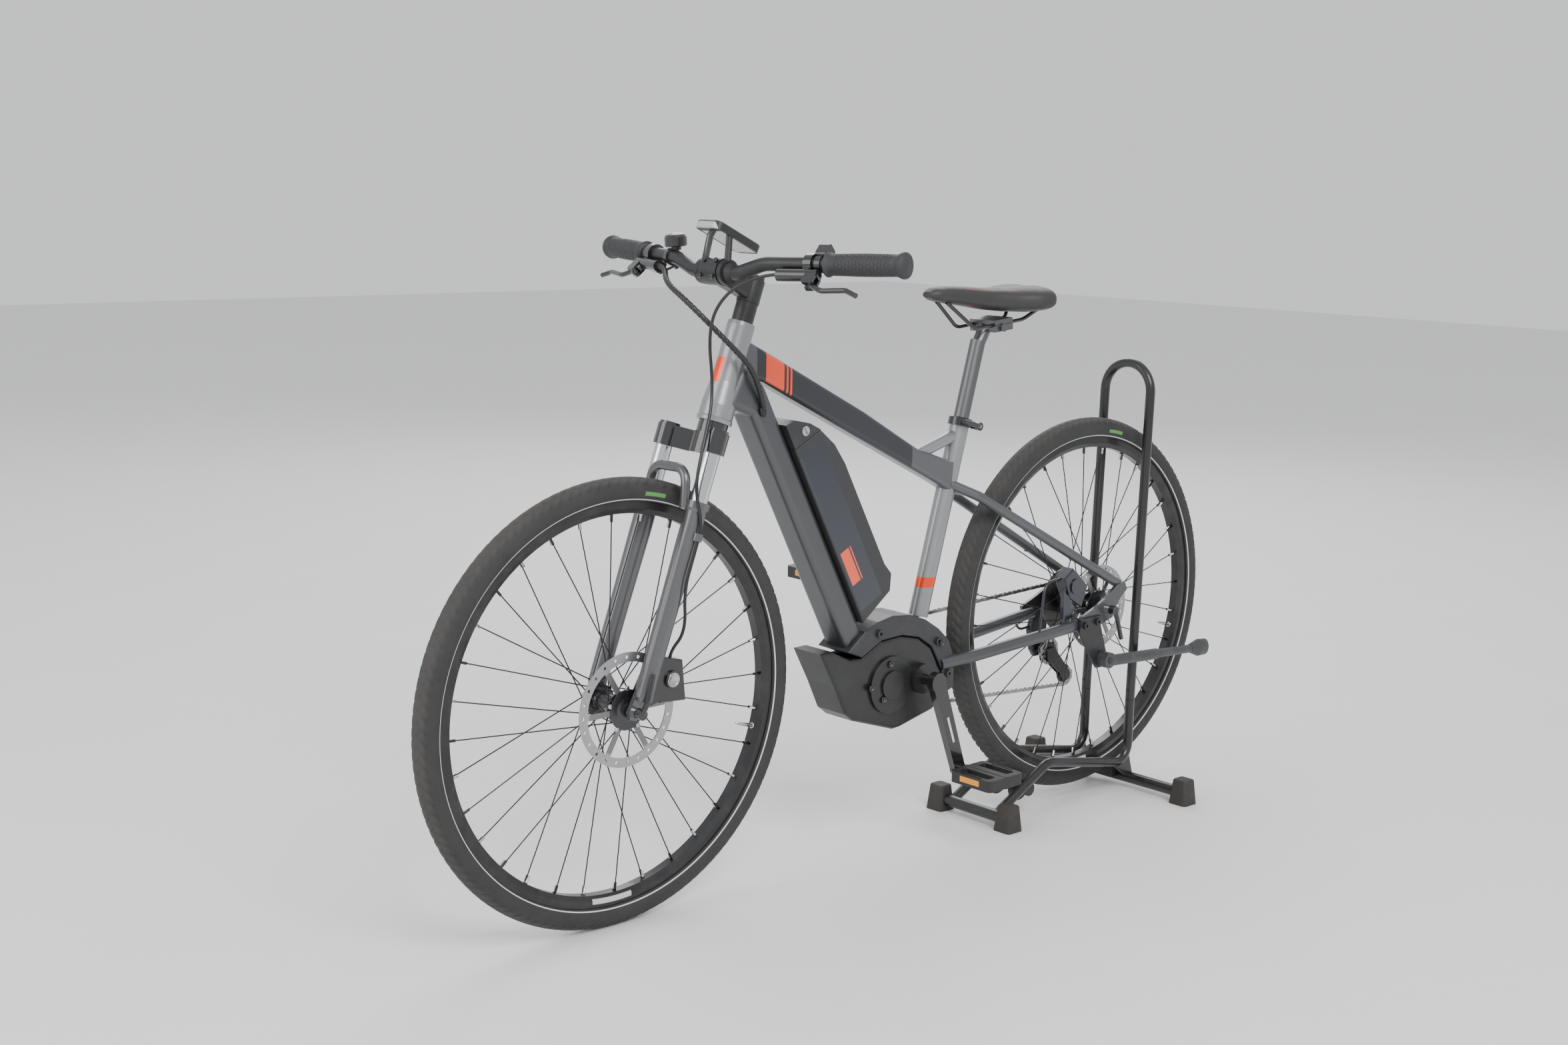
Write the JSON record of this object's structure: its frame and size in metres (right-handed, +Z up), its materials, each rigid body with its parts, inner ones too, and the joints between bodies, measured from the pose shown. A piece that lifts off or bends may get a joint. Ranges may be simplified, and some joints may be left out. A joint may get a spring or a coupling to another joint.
{
  "type": "bicycle on stand",
  "caption": "Trekking bicycle with a mid motor, its rear wheel held between the rails and hoop of a low tubular floor stand.",
  "frame": {"origin": "on the floor, midway between the two wheel axles, in the plane of the frame", "axes": "+X towards the front wheel, +Y to the rider's left, +Z up"},
  "size_m": [1.8114, 0.7064, 1.09],
  "materials": {
    "steel_tube": "satin black, worn",
    "foot_rubber": "matte",
    "black_plastic": "satin",
    "frame_grey": "satin metallic",
    "frame_silver": "satin metallic",
    "aluminium_bright": "polished",
    "battery_case": "gloss",
    "tyre_rubber": "matte",
    "rim_black": "anodised",
    "spoke_steel": "satin",
    "rotor_steel": "brushed",
    "chain_steel": "oiled",
    "fork_metal": "gloss",
    "saddle_cover": "matte",
    "grip_rubber": "matte",
    "hose": "satin",
    "black_alloy": "satin black"
  },
  "bodies": {
    "stand": {"stand_base": "steel_tube", "stand_feet": "foot_rubber", "stand_cups": "black_plastic"},
    "hoop": {"stand_hoop": "steel_tube"},
    "frame": {"head_tube": "frame_silver", "down_tube": "frame_grey", "seat_tube": "frame_silver", "top_tube": "frame_grey", "seat_stays": "frame_grey", "motor_bracket": "black_plastic", "chain_stays": "frame_grey", "drive_unit": "aluminium_bright", "seat_collar": "black_alloy", "battery_mount": "black_plastic", "kickstand_bracket": "black_alloy", "rear_caliper": "black_alloy", "derailleur": "black_alloy", "rear_axle": "spoke_steel", "chain": "chain_steel"},
    "collar_lever": {"seat_collar_lever": "black_alloy"},
    "post": {"seatpost": "black_alloy"},
    "saddle": {"saddle": "saddle_cover", "saddle_rails": "spoke_steel"},
    "battery": {"battery": "battery_case"},
    "lock": {"battery_lock": "aluminium_bright"},
    "side_stand": {"kickstand_leg": "black_plastic"},
    "cage": {"derailleur_cage": "black_alloy"},
    "guide_jockey": {"jockey_upper": "black_plastic"},
    "tension_jockey": {"jockey_lower": "black_plastic"},
    "crank": {"crankset": "black_alloy"},
    "pedal_l": {"pedal_left": "black_plastic"},
    "pedal_r": {"pedal_right": "black_plastic"},
    "rear_wheel": {"rear_tyre": "tyre_rubber", "rear_rim": "rim_black", "rear_hub": "black_alloy", "rear_spokes": "spoke_steel", "rear_rotor": "rotor_steel"},
    "cassette": {"cassette": "chain_steel"},
    "steering": {"fork_crown": "fork_metal", "stem": "black_alloy", "handlebar": "black_alloy", "grips": "grip_rubber", "brake_perches": "black_alloy", "bar_controls": "black_plastic", "hoses": "hose"},
    "lowers": {"fork_lowers": "fork_metal", "front_caliper": "black_alloy", "front_axle": "spoke_steel"},
    "front_wheel": {"front_tyre": "tyre_rubber", "front_rim": "rim_black", "front_hub": "black_alloy", "front_spokes": "spoke_steel", "front_rotor": "rotor_steel"},
    "front_lever": {"front_skewer_lever": "black_alloy"},
    "rear_lever": {"rear_skewer_lever": "black_alloy"},
    "display": {"display": "black_plastic"},
    "brake_l": {"brake_lever_left": "black_alloy"},
    "brake_r": {"brake_lever_right": "black_alloy"},
    "shifter": {"shift_lever": "black_plastic"},
    "button": {"mode_button": "black_plastic"}
  },
  "joints": [
    {"name": "bike_lift", "type": "slide", "parent": "stand", "child": "frame", "axis": [0.9945, 0, 0.1045], "range_m": [0, 1]},
    {"name": "hoop_pull", "type": "slide", "parent": "stand", "child": "hoop", "axis": [0, 0, 1], "range_m": [0, 0.1]},
    {"name": "collar_lever_turn", "type": "hinge", "parent": "frame", "child": "collar_lever", "pos_m": [-0.23599, 0, 0.73172], "axis": [0, -1, 0], "range_deg": [0, 110]},
    {"name": "post_height", "type": "slide", "parent": "frame", "child": "post", "axis": [-0.2624, 0, 0.9649], "range_m": [-0.05, 0.06]},
    {"name": "saddle_shift", "type": "slide", "parent": "post", "child": "saddle", "axis": [0.9946, 0, -0.1037], "range_m": [-0.015, 0.015]},
    {"name": "battery_out", "type": "slide", "parent": "frame", "child": "battery", "axis": [-0.8814, 0, 0.4723], "range_m": [0, 0.03]},
    {"name": "lock_turn", "type": "hinge", "parent": "frame", "child": "lock", "pos_m": [0.19634, 0.038, 0.7556], "axis": [0, 1, 0], "range_deg": [0, 90]},
    {"name": "side_stand_fold", "type": "hinge", "parent": "frame", "child": "side_stand", "pos_m": [-0.53429, 0.089, 0.28067], "axis": [0, -1, 0], "range_deg": [0, 40]},
    {"name": "cage_swing", "type": "hinge", "parent": "frame", "child": "cage", "pos_m": [-0.53496, -0.052, 0.27068], "axis": [0, 1, 0], "range_deg": [-20, 25], "stiffness_Nm_per_rad": 0.6},
    {"name": "crank_turn", "type": "hinge", "parent": "frame", "child": "crank", "pos_m": [-0.08378, 0, 0.30593], "axis": [0, 1, 0], "continuous": true, "deforming": ["chain"]},
    {"name": "guide_jockey_turn", "type": "hinge", "parent": "cage", "child": "guide_jockey", "pos_m": [-0.53496, -0.052, 0.27068], "axis": [0, 1, 0], "continuous": true},
    {"name": "tension_jockey_turn", "type": "hinge", "parent": "cage", "child": "tension_jockey", "pos_m": [-0.58183, -0.052, 0.21998], "axis": [0, 1, 0], "continuous": true},
    {"name": "pedal_left_turn", "type": "hinge", "parent": "crank", "child": "pedal_l", "pos_m": [-0.14474, 0.1485, 0.14189], "axis": [0, 1, 0], "continuous": true},
    {"name": "pedal_right_turn", "type": "hinge", "parent": "crank", "child": "pedal_r", "pos_m": [-0.02283, -0.1485, 0.46997], "axis": [0, 1, 0], "continuous": true},
    {"name": "rear_wheel_turn", "type": "hinge", "parent": "frame", "child": "rear_wheel", "pos_m": [-0.55272, 0, 0.372], "axis": [0, 1, 0], "continuous": true},
    {"name": "cassette_turn", "type": "hinge", "parent": "frame", "child": "cassette", "pos_m": [-0.55272, -0.045, 0.372], "axis": [0, 1, 0], "continuous": true},
    {"name": "steer", "type": "hinge", "parent": "frame", "child": "steering", "pos_m": [0.35516, 0, 0.78166], "axis": [-0.3349, 0, 0.9423], "range_deg": [-50, 50], "deforming": ["hoses"]},
    {"name": "fork_travel", "type": "slide", "parent": "steering", "child": "lowers", "axis": [-0.3349, 0, 0.9423], "range_m": [0, 0.045], "stiffness_N_per_m": 9000, "springref_m": -0.03},
    {"name": "front_wheel_turn", "type": "hinge", "parent": "lowers", "child": "front_wheel", "pos_m": [0.55272, 0, 0.353], "axis": [0, 1, 0], "continuous": true},
    {"name": "front_lever_turn", "type": "hinge", "parent": "lowers", "child": "front_lever", "pos_m": [0.55272, 0.07, 0.353], "axis": [0, 1, 0], "range_deg": [0, 110]},
    {"name": "rear_lever_turn", "type": "hinge", "parent": "frame", "child": "rear_lever", "pos_m": [-0.55272, 0.085, 0.372], "axis": [0, 1, 0], "range_deg": [0, 100]},
    {"name": "display_tilt", "type": "hinge", "parent": "steering", "child": "display", "pos_m": [0.35599, 0, 1.01048], "axis": [0, 1, 0], "range_deg": [-6, 12]},
    {"name": "brake_left_pull", "type": "hinge", "parent": "steering", "child": "brake_l", "pos_m": [0.35344, 0.20812, 1.00252], "axis": [0.6777, 0.1334, 0.7231], "range_deg": [0, 13], "stiffness_Nm_per_rad": 1.2, "springref_deg": -14.32},
    {"name": "brake_right_pull", "type": "hinge", "parent": "steering", "child": "brake_r", "pos_m": [0.35344, -0.20812, 1.00252], "axis": [-0.6777, 0.1334, -0.7231], "range_deg": [0, 13], "stiffness_Nm_per_rad": 1.2, "springref_deg": -14.32},
    {"name": "shift_push", "type": "hinge", "parent": "steering", "child": "shifter", "pos_m": [0.30426, -0.19887, 1.00232], "axis": [0.6777, -0.1334, 0.7231], "range_deg": [0, 18], "stiffness_Nm_per_rad": 0.3, "springref_deg": -17.19},
    {"name": "button_press", "type": "slide", "parent": "steering", "child": "button", "axis": [0.7004, 0.1823, -0.69], "range_m": [0, 0.001], "stiffness_N_per_m": 600, "springref_m": -0.001}
  ],
  "couplings": [
    {"joint": "cassette_turn", "follows": "crank_turn", "ratio": 2.5},
    {"joint": "guide_jockey_turn", "follows": "crank_turn", "ratio": -3.6364},
    {"joint": "tension_jockey_turn", "follows": "crank_turn", "ratio": 3.6364}
  ]
}
